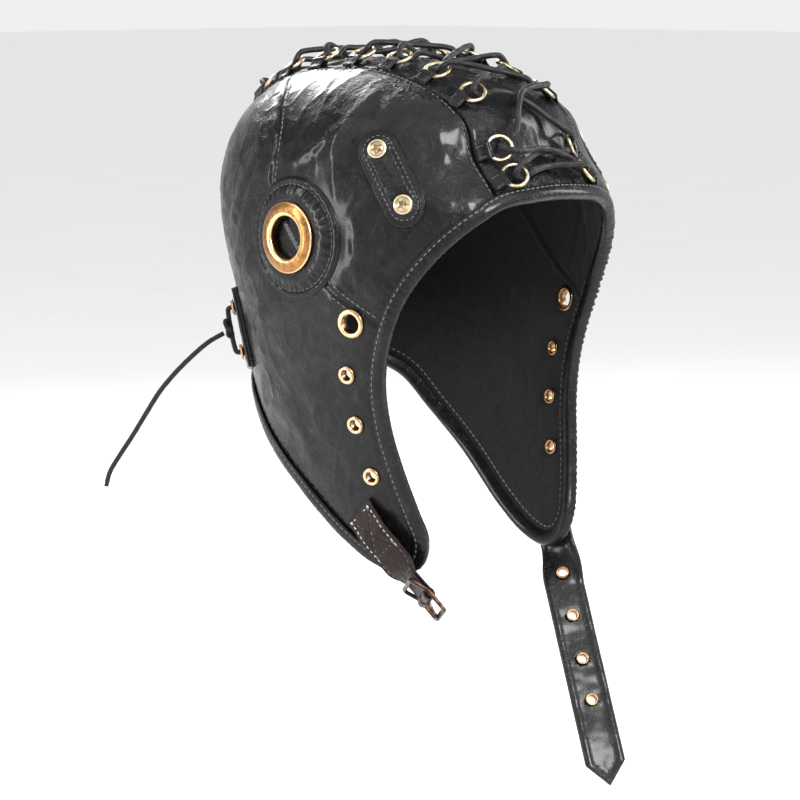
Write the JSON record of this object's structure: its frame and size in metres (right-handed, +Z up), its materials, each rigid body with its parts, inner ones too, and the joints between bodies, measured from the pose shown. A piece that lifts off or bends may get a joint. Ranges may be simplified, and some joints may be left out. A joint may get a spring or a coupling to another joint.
{
  "type": "leather flying helmet",
  "caption": "Close leather flying helmet with a laced crown, ear flaps with grommets, star-studded temple patches, and a buckled chin strap left open.",
  "frame": {"origin": "inside of the crown's top, where the head touches", "axes": "+Z up, the face looks along -Y, +X is the wearer's left"},
  "size_m": [0.2157, 0.2195, 0.3891],
  "materials": {
    "leather_black": "waxed semi-gloss, grained",
    "leather_strap": "semi-gloss, stitched",
    "leather_brown": "worn dark brown",
    "brass_antique": "antique, worn bright on edges",
    "brass_pale": "pale, polished",
    "cord_black": "waxed round cord"
  },
  "bodies": {
    "helmet": {"crown_panel": "leather_black", "side_panel_right": "leather_black", "ear_flap_right": "leather_black", "side_panel_left": "leather_black", "ear_flap_left": "leather_black", "rim_binding": "leather_black", "ear_patch_right": "leather_black", "ear_grommet_right": "brass_antique", "temple_patch_right": "leather_black", "star_stud_upper_right": "brass_pale", "star_stud_lower_right": "brass_pale", "flap_eyelet_1_right": "brass_antique", "flap_eyelet_2_right": "brass_antique", "flap_eyelet_3_right": "brass_antique", "flap_eyelet_4_right": "brass_antique", "rear_eyelet_upper_right": "brass_antique", "rear_eyelet_lower_right": "brass_antique", "rear_patch_right": "leather_black", "lace_ring_1_right": "brass_pale", "lace_ring_2_right": "brass_pale", "lace_ring_3_right": "brass_pale", "lace_ring_4_right": "brass_pale", "lace_ring_5_right": "brass_pale", "lace_ring_6_right": "brass_pale", "lace_ring_7_right": "brass_pale", "lace_ring_8_right": "brass_pale", "lace_ring_9_right": "brass_pale", "ear_patch_left": "leather_black", "ear_grommet_left": "brass_antique", "temple_patch_left": "leather_black", "star_stud_upper_left": "brass_pale", "star_stud_lower_left": "brass_pale", "flap_eyelet_1_left": "brass_antique", "flap_eyelet_2_left": "brass_antique", "flap_eyelet_3_left": "brass_antique", "flap_eyelet_4_left": "brass_antique", "rear_eyelet_upper_left": "brass_antique", "rear_eyelet_lower_left": "brass_antique", "rear_patch_left": "leather_black", "lace_ring_1_left": "brass_pale", "lace_ring_2_left": "brass_pale", "lace_ring_3_left": "brass_pale", "lace_ring_4_left": "brass_pale", "lace_ring_5_left": "brass_pale", "lace_ring_6_left": "brass_pale", "lace_ring_7_left": "brass_pale", "lace_ring_8_left": "brass_pale", "lace_ring_9_left": "brass_pale", "tie_knot": "cord_black", "tie_cord": "cord_black", "crown_lace": "cord_black", "strap_eyelet_1": "brass_antique", "strap_eyelet_2": "brass_antique", "strap_eyelet_3": "brass_antique", "strap_eyelet_4": "brass_antique", "strap_long": "leather_strap", "strap_short": "leather_brown"},
    "buckle_frame": {"buckle_frame": "brass_antique"},
    "buckle_tongue": {"buckle_tongue": "brass_antique"}
  },
  "joints": [
    {"name": "buckle_frame_pivot", "type": "hinge", "parent": "helmet", "child": "buckle_frame", "pos_m": [-0.04951, -0.05514, -0.27002], "axis": [0.5479, 0.7359, -0.3979], "range_deg": [-60, 0]},
    {"name": "buckle_tongue_pivot", "type": "hinge", "parent": "buckle_frame", "child": "buckle_tongue", "pos_m": [-0.04951, -0.05514, -0.27002], "axis": [0.5479, 0.7359, -0.3979], "range_deg": [0, 70]}
  ]
}
